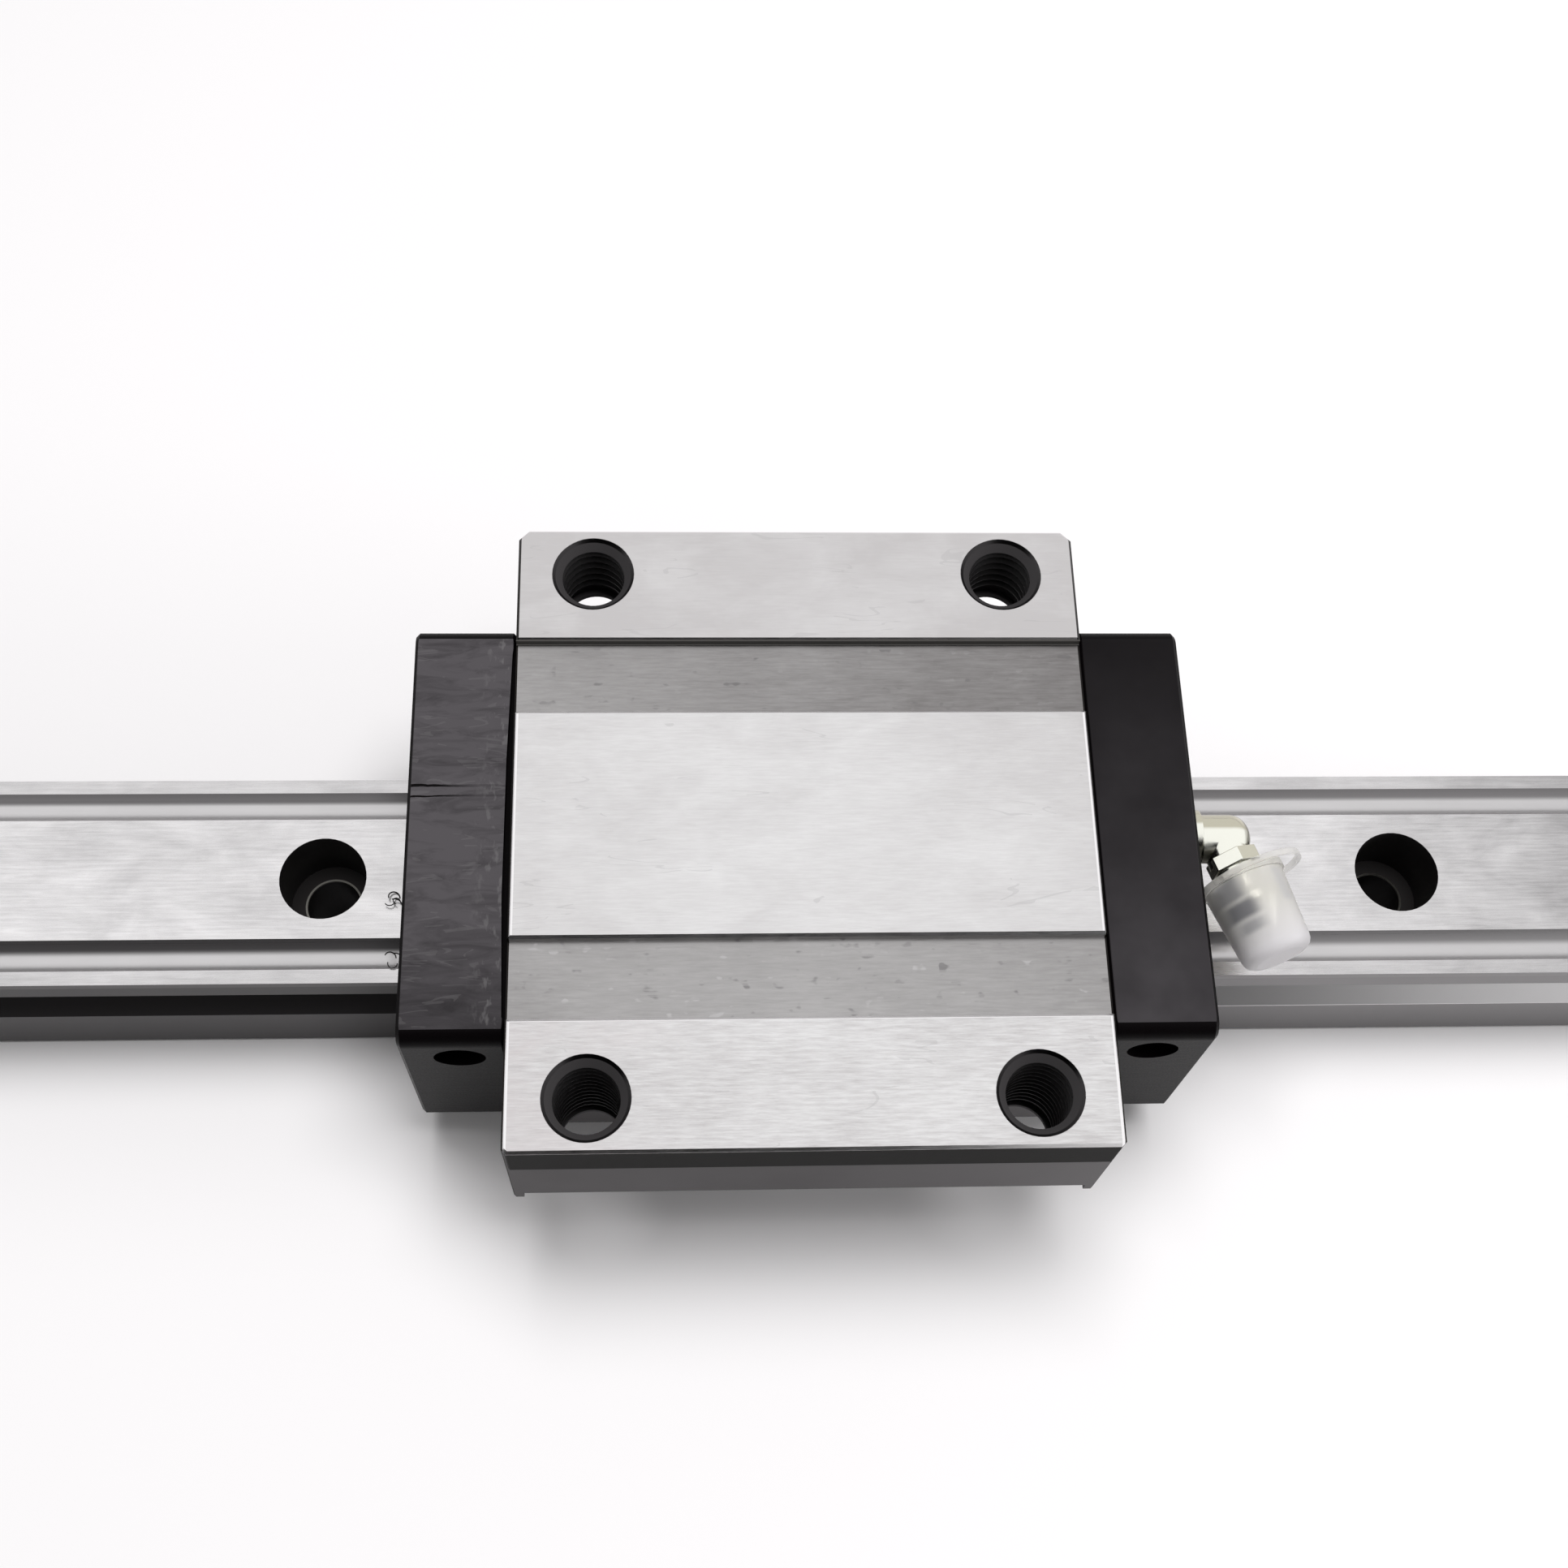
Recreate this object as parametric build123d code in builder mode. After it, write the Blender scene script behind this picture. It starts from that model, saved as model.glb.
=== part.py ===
from build123d import *
from math import asin, cos, pi, radians, sin
import os

# A flanged ball carriage on its profile rail, in millimetres.
# Origin: the middle of the rail's underside. X runs along the rail, Y across it, Z up.

# Rail
rail_length = 240.0
rail_width = 24.0
rail_height = 20.4
shoulder_drop = 0.4             # the shoulders lie this much below the crown
foot_height = 9.3
foot_chamfer = 0.5
waist_width = 19.8
waist_rise = 1.9                # slope from the foot's edge up to the waist
waist_height = 2.0
hole_count = 6
hole_pitch = 40.0
hole_diameter = 6.0
counterbore_diameter = 9.5
counterbore_depth = 8.5

# Balls, their four loaded rows and the bores that bring them back
ball_diameter = 3.97
ball_play = 0.06                # least gap between two balls of a circuit
groove_play = 0.08              # groove radius less ball radius
upper_row_inset = 3.15          # from the rail's side inwards
upper_row_rise = 0.95           # above the crown
lower_row_outset = 0.5          # from the rail's side outwards
lower_row_drop = 6.1            # below the crown
turn_diameter = 7.4             # from a loaded row to its return bore
upper_return_angle = 30.0       # direction of the return bore, seen along the rail
lower_return_angle = -25.0
return_play = 0.2               # return bore radius less ball radius

# Carriage block
block_offset = -7.7             # the block's middle, from the rail's middle
carriage_height = 36.0
block_length = 61.4
block_width = 70.0
body_width = 47.8               # below the flanges
skirt_height = 6.0              # underside of the block, above the rail's underside
flange_thickness = 17.4         # near flange
far_flange_thickness = 11.2     # far flange, undercut all along
flange_lip_length = 1.1         # lips left at both ends of the near flange's lower edge
flange_lip_height = 1.6
side_land_height = 6.3          # ground strip along the top of each long side
side_land_depth = 0.25
pad_width = 25.6                # raised middle pad
strip_depth = 1.0
bolt_spacing_x = 45.0
bolt_edge_distance = 5.5         # middle of the bolt hole to the flange edge
bolt_spacing_y = block_width - 2 * bolt_edge_distance
bolt_bore_diameter = 6.8
bolt_mouth_diameter = 9.0
strip_land = 3.7                # from each sunk strip to the mouths of the bolt holes
strip_width = (bolt_spacing_y - bolt_mouth_diameter - pad_width) / 2 - strip_land
far_corner_chamfer = 1.1
near_corner_chamfer = 0.5
pad_edge_chamfer = 0.3
root_fillet = 1.2

# Channel of the block that takes the rail
skirt_gap = 2.8                 # from the rail's side to the skirt
side_gap = 2.0                  # from the rail's side to the wall between the rows
lip_overhang = 0.5              # steel lip under the lower row, past the row's middle
lip_thickness = 0.9
lip_slope = 1.0
shelf_drop = 0.4                # shelf beside the upper row, below the row's middle
pocket_inset = 0.95             # pocket over the crown, inside the upper row's middle
pocket_rise = 3.0               # pocket ceiling, above the upper row's middle

# End caps
cap_length = 10.9
cap_width = 46.8
cap_drop = 1.0                  # top of the cap, below the top of the block
cap_bottom = 6.2
cap_top_radius = 1.9
cap_bottom_chamfer = 2.9
cap_edge_chamfer = 0.4
cap_rail_gap = 0.8
port_diameter = 5.3
port_depth = 7.5
port_drop = 6.3                 # side port, below the top of the block
port_inset = 4.9                # side port, from the block's end face
plug_length = 4.0
plug_key = 2.5
plug_key_depth = 2.0
end_plug_key = 2.0
duct_depth = 2.6
duct_width = 2.0

# Screws that hold the seal and the cap to the block
screw_height = 19.8
screw_diameter = 3.0
screw_head_diameter = 5.2
screw_head_height = 1.6
screw_seat = 0.4                # seal left under the sunk screw heads
screw_key = 2.0
screw_key_depth = 1.1
screw_bite = 6.0                # thread length in the block
screw_clearance = 0.2

# Seals and ball retainers
seal_thickness = 2.0
seal_width = 44.6
screw_edge_distance = 3.1       # middle of a cap screw to the edge of the seal
screw_spread = seal_width - 2 * screw_edge_distance
seal_top = 25.4
seal_bottom = 7.4
seal_corner = 3.0
seal_lip_gap = 0.3
strip_seal_height = 2.4
strip_seal_lip = 0.5
retainer_gap = 0.4              # between a retainer and the rail
retainer_ball_gap = 0.25        # between a retainer and the balls
retainer_thickness = 0.95
retainer_reach = 1.3            # lower retainer's edge, inside the lower row's middle

# Grease nipple and its protective cap
nipple_drop = 4.8               # nipple axis, below the top of the block
nipple_thread = 4.0
nipple_thread_length = 4.5
nipple_angle = 70.8             # branch, from the rail's direction towards the near side
nipple_reach = 3.3              # middle of the branch, from the end cap's face
washer_diameter = 5.6
washer_thickness = 0.9
elbow_diameter = 4.6
elbow_round = 0.9               # middle of the body's round end, past the branch
branch_seat = 2.5               # places along the branch, from the elbow's centre
hex_height = 1.6
hex_flats = 5.0
neck_diameter = 4.4
neck_length = 2.8
head_diameter = 6.5
head_back_taper = 0.8
head_band = 0.9
head_cone = 2.9
head_tip_diameter = 3.2
head_bore_diameter = 2.0
head_mouth_diameter = 1.2
elbow_bore_diameter = 1.4
check_ball_diameter = 1.8
check_ball_depth = 1.15         # its middle, behind the head's tip
check_spring_wall = 0.3
cover_start = 5.1
cover_length = 9.7
cover_diameter = 8.8
cover_tip_diameter = 7.6
cover_rim_diameter = 9.3
cover_rim_thickness = 0.8
cover_end_wall = 0.8
cover_gap = 0.3
cover_tip_fillet = 1.2
loop_diameter = 10.8            # tear-off loop at the rim, off the cover's axis
loop_hole_diameter = 10.0
loop_offset = 1.35
loop_direction = 35.0           # above the level, on the side away from the cap

# Derived places, in the section across the rail
ball_radius = ball_diameter / 2
groove_radius = ball_radius + groove_play
return_radius = ball_radius + return_play
turn_radius = turn_diameter / 2
upper_row = (rail_width / 2 - upper_row_inset, rail_height + upper_row_rise)
lower_row = (rail_width / 2 + lower_row_outset, rail_height - lower_row_drop)
block_end = block_length / 2
cap_end = block_end + cap_length
cap_top = carriage_height - cap_drop
channel_half = rail_width / 2 + skirt_gap
wall_half = rail_width / 2 + side_gap
lip_half = lower_row[0] + lip_overhang
lip_bottom = lower_row[1] - ball_radius - lip_thickness
shelf_height = upper_row[1] - shelf_drop
pocket_half = upper_row[0] - pocket_inset
pocket_top = upper_row[1] + pocket_rise


def return_place(row, angle):
    """Middle of the return bore that belongs to a loaded row."""
    return (
        row[0] + turn_diameter * cos(radians(angle)),
        row[1] + turn_diameter * sin(radians(angle)),
    )


circuits = {
    "upper": (upper_row, upper_return_angle),
    "lower": (lower_row, lower_return_angle),
}
upper_return = return_place(*circuits["upper"])
lower_return = return_place(*circuits["lower"])
sides = {"near": -1, "far": 1}
ends = {"left": -1, "right": 1}


def both_sides(*places):
    """The given section places and their mirror images across the rail."""
    return [(side * y, z) for y, z in places for side in (-1, 1)]


def section_plane(x):
    """Plane across the rail at a distance along it: local x is Y, local y is Z."""
    return Plane(origin=(x, 0, 0), x_dir=(0, 1, 0), z_dir=(1, 0, 0))


def turn_plane(end, side, row, angle):
    """Plane of a ball turn, at the block's end face and midway from row to return."""
    back = Vector(0, side * cos(radians(angle)), sin(radians(angle)))
    middle = Vector(0, side * row[0], row[1]) + back * turn_radius
    face = Vector(block_offset + end * block_end, 0, 0)
    outward = Vector(end, 0, 0)
    return Plane(origin=face + middle, x_dir=outward, z_dir=outward.cross(back))


def save(part, name):
    """Label a finished piece and write it as its own file."""
    part.label = name
    export_step(part, f"parts/{name}.step")


os.makedirs("parts", exist_ok=True)

# Rail: crown, shoulders, four ball grooves, waist and foot, with counterbored bolt holes
with BuildSketch(section_plane(-rail_length / 2)) as rail_section:
    Rectangle(rail_width, rail_height - shoulder_drop, align=(Align.CENTER, Align.MIN))
    Rectangle(2 * upper_row[0], rail_height, align=(Align.CENTER, Align.MIN))
    for side in (-1, 1):
        with BuildLine():
            Polyline(
                (side * rail_width / 2, foot_height),
                (side * waist_width / 2, foot_height + waist_rise),
                (side * waist_width / 2, foot_height + waist_rise + waist_height),
                (side * rail_width / 2, lower_row[1]),
                close=True,
            )
        make_face(mode=Mode.SUBTRACT)
    with Locations(*both_sides(upper_row, lower_row)):
        Circle(groove_radius, mode=Mode.SUBTRACT)
    chamfer(rail_section.vertices().group_by(Axis.Y)[0], length=foot_chamfer)

with BuildPart() as rail:
    extrude(rail_section.sketch, amount=rail_length)
    with Locations((0, 0, rail_height)):
        with GridLocations(hole_pitch, 1, hole_count, 1):
            CounterBoreHole(hole_diameter / 2, counterbore_diameter / 2, counterbore_depth)
save(rail.part, "rail")

# Carriage block: flanges and skirts round the rail, pads on top, ball grooves and return bores
with BuildSketch(section_plane(block_offset - block_end)) as block_section:
    with Locations((0, carriage_height)):
        Rectangle(block_width, far_flange_thickness, align=(Align.CENTER, Align.MAX))
        Rectangle(block_width / 2, flange_thickness, align=(Align.MAX, Align.MAX))
        Rectangle(body_width, carriage_height - skirt_height, align=(Align.CENTER, Align.MAX))
    flange_root = carriage_height - flange_thickness
    far_flange_root = carriage_height - far_flange_thickness
    near_corner = (-body_width / 2, flange_root)
    far_corner = (body_width / 2, far_flange_root)
    roots = [
        block_section.vertices().sort_by_distance(corner)[0]
        for corner in (near_corner, far_corner)
    ]
    fillet(roots, radius=root_fillet)
    with Locations(*both_sides(((pad_width + strip_width) / 2, carriage_height))):
        Rectangle(strip_width, 2 * strip_depth, mode=Mode.SUBTRACT)
    for side in (-1, 1):
        with Locations((side * block_width / 2, carriage_height - side_land_height)):
            Rectangle(
                2 * side_land_depth,
                flange_thickness,
                align=(Align.CENTER, Align.MAX),
                mode=Mode.SUBTRACT,
            )
        with BuildLine():
            Polyline(
                (0, 0),
                (side * channel_half, 0),
                (side * channel_half, lip_bottom - lip_slope),
                (side * lip_half, lip_bottom),
                (side * lip_half, lower_row[1]),
                (side * wall_half, lower_row[1]),
                (side * wall_half, shelf_height),
                (side * pocket_half, shelf_height),
                (side * pocket_half, pocket_top),
                (0, pocket_top),
                close=True,
            )
        make_face(mode=Mode.SUBTRACT)
    with Locations(*both_sides(upper_row, lower_row)):
        Circle(groove_radius, mode=Mode.SUBTRACT)
    with Locations(*both_sides(upper_return, lower_return)):
        Circle(return_radius, mode=Mode.SUBTRACT)

with BuildPart() as carriage_block:
    extrude(block_section.sketch, amount=block_length)
    # Lips that stay at both ends of the near flange's lower edge
    lip_spacing = block_length - flange_lip_length
    flange_overhang = (block_width - body_width) / 2 - side_land_depth
    with Locations((block_offset, -(body_width + flange_overhang) / 2, flange_root)):
        with GridLocations(lip_spacing, 1, 2, 1):
            Box(
                flange_lip_length,
                flange_overhang,
                flange_lip_height,
                align=(Align.CENTER, Align.CENTER, Align.MAX),
            )
    # Four threaded through holes with countersunk mouths
    with Locations((block_offset, 0, carriage_height)):
        with GridLocations(bolt_spacing_x, bolt_spacing_y, 2, 2):
            CounterSinkHole(bolt_bore_diameter / 2, bolt_mouth_diameter / 2, counter_sink_angle=90)
    # Tapped holes for the cap screws, in both end faces
    for end in ends.values():
        with BuildSketch(section_plane(block_offset + end * block_end)):
            with Locations(*both_sides((screw_spread / 2, screw_height))):
                Circle(screw_diameter / 2)
        extrude(amount=-end * screw_bite, mode=Mode.SUBTRACT)
    # Upright corners, cut larger on the far side
    with BuildSketch() as block_plan:
        with Locations((block_offset, 0)):
            Rectangle(block_length, block_width)
        chamfer(block_plan.vertices().group_by(Axis.Y)[-1], length=far_corner_chamfer)
        chamfer(block_plan.vertices().group_by(Axis.Y)[0], length=near_corner_chamfer)
    extrude(amount=carriage_height, mode=Mode.INTERSECT)
    pads = carriage_block.faces().filter_by(Axis.Z).group_by(Axis.Z)[-1]
    chamfer(pads.edges().filter_by(GeomType.LINE), length=pad_edge_chamfer)
save(carriage_block.part, "carriage_block")


def rail_passage(x, gap):
    """Outline of the rail with a gap all round, in the section at x."""
    with BuildSketch(section_plane(x)) as passage:
        add(rail_section.sketch_local)
        offset(amount=gap)
    return passage.sketch


def seal_outline(x, gap=0):
    """Outer outline of an end seal, in the section at x."""
    with BuildSketch(section_plane(x)) as outline:
        with Locations((0, seal_top)):
            Rectangle(seal_width, seal_top - seal_bottom, align=(Align.CENTER, Align.MAX))
        chamfer(outline.vertices(), length=seal_corner)
        if gap:
            offset(amount=gap)
    return outline.sketch


def make_cap(end):
    """End cap: closes the ball circuits, takes the seal, the grease ports and two screws."""
    inner = block_offset + end * block_end
    outer = block_offset + end * cap_end
    with BuildPart() as cap:
        with BuildSketch(section_plane(inner)) as outline:
            with Locations((0, cap_top)):
                Rectangle(cap_width, cap_top - cap_bottom, align=(Align.CENTER, Align.MAX))
            fillet(outline.vertices().group_by(Axis.Y)[-1], radius=cap_top_radius)
            chamfer(outline.vertices().group_by(Axis.Y)[0], length=cap_bottom_chamfer)
        extrude(amount=end * cap_length)
        chamfer(cap.faces().sort_by(Axis.X)[0].edges(), length=cap_edge_chamfer)
        chamfer(cap.faces().sort_by(Axis.X)[-1].edges(), length=cap_edge_chamfer)
        extrude(rail_passage(inner, cap_rail_gap), amount=end * cap_length, mode=Mode.SUBTRACT)
        # Recess for the seal
        extrude(seal_outline(outer), amount=-end * seal_thickness, mode=Mode.SUBTRACT)
        # Pockets where the balls turn round
        for side in sides.values():
            for row, angle in circuits.values():
                with BuildSketch(turn_plane(end, side, row, angle)):
                    Circle(turn_radius + return_radius)
                extrude(amount=return_radius, both=True, mode=Mode.SUBTRACT)
        # Grease ports at the end and at both sides, joined by a duct in the inner face
        with BuildSketch(section_plane(outer)):
            with Locations((0, carriage_height - nipple_drop)):
                Circle(nipple_thread / 2)
        extrude(amount=-end * cap_length, mode=Mode.SUBTRACT)
        duct_place = (inner, 0, carriage_height - port_drop)
        with Locations(duct_place):
            Box(2 * duct_depth, cap_width - 2 * port_depth, duct_width, mode=Mode.SUBTRACT)
        for side in sides.values():
            face = (inner + end * port_inset, side * cap_width / 2, carriage_height - port_drop)
            with BuildSketch(Plane(origin=face, x_dir=(1, 0, 0), z_dir=(0, -side, 0))):
                Circle(port_diameter / 2)
            extrude(amount=port_depth, mode=Mode.SUBTRACT)
        # Screw holes
        with BuildSketch(section_plane(outer)):
            with Locations(*both_sides((screw_spread / 2, screw_height))):
                Circle(screw_diameter / 2 + screw_clearance)
        extrude(amount=-end * cap_length, mode=Mode.SUBTRACT)
    return cap.part


def make_turn_guides(end):
    """Half-round guides that fill the middle of each ball turn."""
    with BuildPart() as guides:
        for side in sides.values():
            for row, angle in circuits.values():
                with BuildSketch(turn_plane(end, side, row, angle)) as guide:
                    Circle(turn_radius - return_radius)
                    Rectangle(
                        turn_diameter,
                        turn_diameter,
                        align=(Align.MAX, Align.CENTER),
                        mode=Mode.SUBTRACT,
                    )
                extrude(amount=return_radius, both=True)
    return guides.part


def make_end_seal(end):
    """Seal plate whose inner edge follows the rail."""
    outer = block_offset + end * cap_end
    with BuildPart() as seal:
        extrude(seal_outline(outer), amount=-end * seal_thickness)
        extrude(rail_passage(outer, seal_lip_gap), amount=-end * seal_thickness, mode=Mode.SUBTRACT)
        with BuildSketch(section_plane(outer)):
            with Locations(*both_sides((screw_spread / 2, screw_height))):
                Circle(screw_diameter / 2 + screw_clearance)
        extrude(amount=-end * seal_thickness, mode=Mode.SUBTRACT)
        with BuildSketch(section_plane(outer)):
            with Locations(*both_sides((screw_spread / 2, screw_height))):
                Circle(screw_head_diameter / 2 + screw_clearance)
        extrude(amount=-end * (seal_thickness - screw_seat), mode=Mode.SUBTRACT)
    return seal.part


def make_cap_screws(end):
    """Socket screws through the seal and the cap into the block, with sunk heads."""
    sink = seal_thickness - screw_seat
    under_head = block_offset + end * (cap_end - sink)
    places = both_sides((screw_spread / 2, screw_height))
    with BuildPart() as screws:
        with BuildSketch(section_plane(under_head)):
            with Locations(*places):
                Circle(screw_head_diameter / 2)
        extrude(amount=end * screw_head_height)
        with BuildSketch(section_plane(under_head)):
            with Locations(*places):
                Circle(screw_diameter / 2)
        extrude(amount=-end * (cap_length - sink + screw_bite))
        with BuildSketch(section_plane(under_head + end * screw_head_height)):
            with Locations(*places):
                RegularPolygon(screw_key / 2, 6, major_radius=False)
        extrude(amount=-end * screw_key_depth, mode=Mode.SUBTRACT)
    return screws.part


def make_set_screw(plane, diameter, key):
    """Socket set screw that closes a grease port; the plane's normal points out of the port."""
    with BuildPart() as plug:
        with BuildSketch(plane):
            Circle(diameter / 2)
        extrude(amount=-plug_length)
        with BuildSketch(plane):
            RegularPolygon(key / 2, 6, major_radius=False)
        extrude(amount=-plug_key_depth, mode=Mode.SUBTRACT)
    return plug.part


for end_name, end in ends.items():
    save(make_cap(end), f"end_cap_{end_name}")
    save(make_turn_guides(end), f"turn_guides_{end_name}")
    save(make_end_seal(end), f"end_seal_{end_name}")
    save(make_cap_screws(end), f"cap_screws_{end_name}")

# Set screws at the bottom of the four side ports, and one flush in the left cap's end port
with BuildPart() as port_plugs:
    for end in ends.values():
        for side in sides.values():
            bottom = (
                block_offset + end * (block_end + port_inset),
                side * (cap_width / 2 - port_depth + plug_length),
                carriage_height - port_drop,
            )
            port_plane = Plane(origin=bottom, x_dir=(1, 0, 0), z_dir=(0, side, 0))
            add(make_set_screw(port_plane, port_diameter, plug_key))
save(port_plugs.part, "port_plugs")

end_port = (block_offset - cap_end, 0, carriage_height - nipple_drop)
end_port_plane = Plane(origin=end_port, x_dir=(0, 1, 0), z_dir=(-1, 0, 0))
end_plug = make_set_screw(end_port_plane, nipple_thread, end_plug_key)
save(end_plug, "end_port_plug")


def save_strips(outline, name):
    """Extrude a section over the block's length on the near and on the far side."""
    for side_name, side in sides.items():
        with BuildPart() as strip:
            with BuildSketch(section_plane(block_offset - block_end)):
                with BuildLine():
                    Polyline(*[(side * y, z) for y, z in outline], close=True)
                make_face()
            extrude(amount=block_length)
        save(strip.part, f"{name}_{side_name}")


# Bottom seals: strips between the skirts and the rail's foot, with a raised lip
seal_tip = rail_width / 2 + seal_lip_gap
save_strips(
    [
        (channel_half, skirt_height),
        (channel_half - skirt_gap / 2, skirt_height),
        (seal_tip, skirt_height + strip_seal_height / 2 - strip_seal_lip / 2),
        (seal_tip, skirt_height + strip_seal_height / 2 + strip_seal_lip / 2),
        (channel_half - skirt_gap / 2, skirt_height + strip_seal_height),
        (channel_half, skirt_height + strip_seal_height),
    ],
    "bottom_seal",
)

# Side retainers: L-shaped strips on the wall between the two rows, lip under the upper row
retainer_half = rail_width / 2 + retainer_gap
ball_clear = ball_radius + retainer_ball_gap
shoulder_height = rail_height - shoulder_drop
save_strips(
    [
        (wall_half, lower_row[1] + ball_clear),
        (retainer_half, lower_row[1] + ball_clear),
        (retainer_half, shoulder_height + retainer_gap),
        (upper_row[0] + ball_clear, shoulder_height + retainer_gap),
        (upper_row[0] + ball_clear, shelf_height),
        (wall_half, shelf_height),
    ],
    "side_retainer",
)

# Lower retainers: strips against the steel lip, under the lower row
lower_tip = lower_row[0] - retainer_reach
save_strips(
    [
        (lip_half, lower_row[1] - ball_clear),
        (lower_tip, lower_row[1] - ball_clear),
        (lower_tip, lower_row[1] - ball_clear - retainer_thickness),
        (lip_half, lower_row[1] - ball_clear - retainer_thickness),
    ],
    "lower_retainer",
)

# Upper retainer: one bar over the crown that hugs the inner side of both upper rows
with BuildPart() as upper_retainer:
    with BuildSketch(section_plane(block_offset - block_end)):
        with Locations((0, pocket_top)):
            bar_height = pocket_top - rail_height - retainer_gap
            Rectangle(2 * pocket_half, bar_height, align=(Align.CENTER, Align.MAX))
        with Locations(*both_sides(upper_row)):
            Circle(ball_clear, mode=Mode.SUBTRACT)
    extrude(amount=block_length)
save(upper_retainer.part, "upper_retainer")

# Ball circuits: balls round the closed loop of a loaded row, two turns and a return bore.
# Each ball is a cube with all its edges cut, so that its corners lie on the ball's surface.
loop_length = 2 * block_length + 2 * pi * turn_radius
ball_pitch = 2 * turn_radius * asin((ball_diameter + ball_play) / turn_diameter)
ball_count = int(loop_length / ball_pitch)
cube_side = ball_diameter * (1 + 2**0.5) / (5 + 2 * 2**0.5) ** 0.5
cube_cut = cube_side / (2 + 2**0.5)


def loop_place(travel):
    """Distance along X and across to the return bore, for a travel along the loop."""
    arc = pi * turn_radius
    if travel < block_length:
        return travel - block_end, 0
    travel -= block_length
    if travel < arc:
        swing = travel / turn_radius
        return block_end + turn_radius * sin(swing), turn_radius * (1 - cos(swing))
    travel -= arc
    if travel < block_length:
        return block_end - travel, turn_diameter
    swing = (travel - block_length) / turn_radius
    return -block_end - turn_radius * sin(swing), turn_radius * (1 + cos(swing))


def make_balls(row, angle, side):
    """All balls of one circuit."""
    places = []
    for number in range(ball_count):
        along, across = loop_place(loop_length * (number + 0.5) / ball_count)
        y = side * (row[0] + across * cos(radians(angle)))
        z = row[1] + across * sin(radians(angle))
        places.append((block_offset + along, y, z))
    with BuildPart() as ball:
        Box(cube_side, cube_side, cube_side)
        chamfer(ball.edges(), length=cube_cut)
    with BuildPart() as balls:
        with Locations(*places):
            add(ball.part)
    return balls.part


for row_name, (row, angle) in circuits.items():
    for side_name, side in sides.items():
        save(make_balls(row, angle, side), f"balls_{row_name}_{side_name}")

# Grease nipple, on the right end cap
cap_face = block_offset + cap_end
nipple_height = carriage_height - nipple_drop
elbow_place = Vector(cap_face + nipple_reach, 0, nipple_height)
branch_way = Vector(cos(radians(nipple_angle)), -sin(radians(nipple_angle)), 0)


def branch_plane(distance=0):
    """Plane square to the nipple's branch; local x is level, local y is up."""
    level = branch_way.cross(Vector(0, 0, -1))
    return Plane(origin=elbow_place + branch_way * distance, x_dir=level, z_dir=branch_way)


branch_axis = Axis(elbow_place, branch_way)
branch_profile = Plane(
    origin=elbow_place,
    x_dir=branch_way.cross(Vector(0, 0, -1)),
    z_dir=(0, 0, -1),
)


with BuildPart() as nipple_washer:
    with BuildSketch(section_plane(cap_face)):
        with Locations((0, nipple_height)):
            Circle(washer_diameter / 2)
            Circle(nipple_thread / 2, mode=Mode.SUBTRACT)
    extrude(amount=washer_thickness)
save(nipple_washer.part, "nipple_washer")

# Elbow: threaded shank, round body with a ball end, and a branch with a flat seat for the head
with BuildPart() as nipple_elbow:
    with BuildSketch(section_plane(cap_face - nipple_thread_length)):
        with Locations((0, nipple_height)):
            Circle(nipple_thread / 2)
    extrude(amount=nipple_thread_length + washer_thickness)
    with BuildSketch(section_plane(cap_face + washer_thickness)):
        with Locations((0, nipple_height)):
            Circle(elbow_diameter / 2)
    extrude(amount=nipple_reach + elbow_round - washer_thickness)
    with Locations(elbow_place + Vector(elbow_round, 0, 0)):
        Sphere(elbow_diameter / 2)
    with BuildSketch(branch_plane()):
        Circle(elbow_diameter / 2)
    extrude(amount=branch_seat)
    with BuildSketch(branch_plane(branch_seat)):
        Rectangle(4 * elbow_diameter, 4 * elbow_diameter)
    extrude(amount=elbow_diameter, mode=Mode.SUBTRACT)
    with BuildSketch(branch_plane(branch_seat)):
        Circle(elbow_bore_diameter / 2)
    extrude(amount=-branch_seat, mode=Mode.SUBTRACT)
    with BuildSketch(section_plane(cap_face - nipple_thread_length)):
        with Locations((0, nipple_height)):
            Circle(elbow_bore_diameter / 2)
    extrude(amount=nipple_thread_length + nipple_reach, mode=Mode.SUBTRACT)
save(nipple_elbow.part, "nipple_elbow")

# Head: hexagon, neck and coupling head, bored through for the grease
head_radius = head_diameter / 2
bore_radius = head_bore_diameter / 2
neck_top = branch_seat + hex_height + neck_length
band_base = neck_top + head_back_taper
head_tip = band_base + head_band + head_cone
ball_place = head_tip - check_ball_depth
with BuildPart() as nipple_head:
    with BuildSketch(branch_plane(branch_seat)):
        RegularPolygon(hex_flats / 2, 6, major_radius=False, rotation=30)
    extrude(amount=hex_height)
    with BuildSketch(branch_profile):
        with BuildLine():
            Polyline(
                (0, branch_seat),
                (neck_diameter / 2, branch_seat),
                (neck_diameter / 2, neck_top),
                (head_radius, band_base),
                (head_radius, band_base + head_band),
                (head_tip_diameter / 2, head_tip),
                (0, head_tip),
                close=True,
            )
        make_face()
    revolve(axis=branch_axis)
    with BuildSketch(branch_profile):
        with BuildLine():
            Polyline(
                (0, branch_seat),
                (bore_radius, branch_seat),
                (bore_radius, ball_place + bore_radius / 4),
                (head_mouth_diameter / 2, ball_place + check_ball_diameter / 2),
                (head_mouth_diameter / 2, head_tip),
                (0, head_tip),
                close=True,
            )
        make_face()
    revolve(axis=branch_axis, mode=Mode.SUBTRACT)
save(nipple_head.part, "nipple_head")

# Check ball behind the head's mouth and the spring that seats on the elbow
with BuildPart() as check_ball:
    with Locations(elbow_place + branch_way * ball_place):
        Sphere(check_ball_diameter / 2)
save(check_ball.part, "nipple_check_ball")

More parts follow.
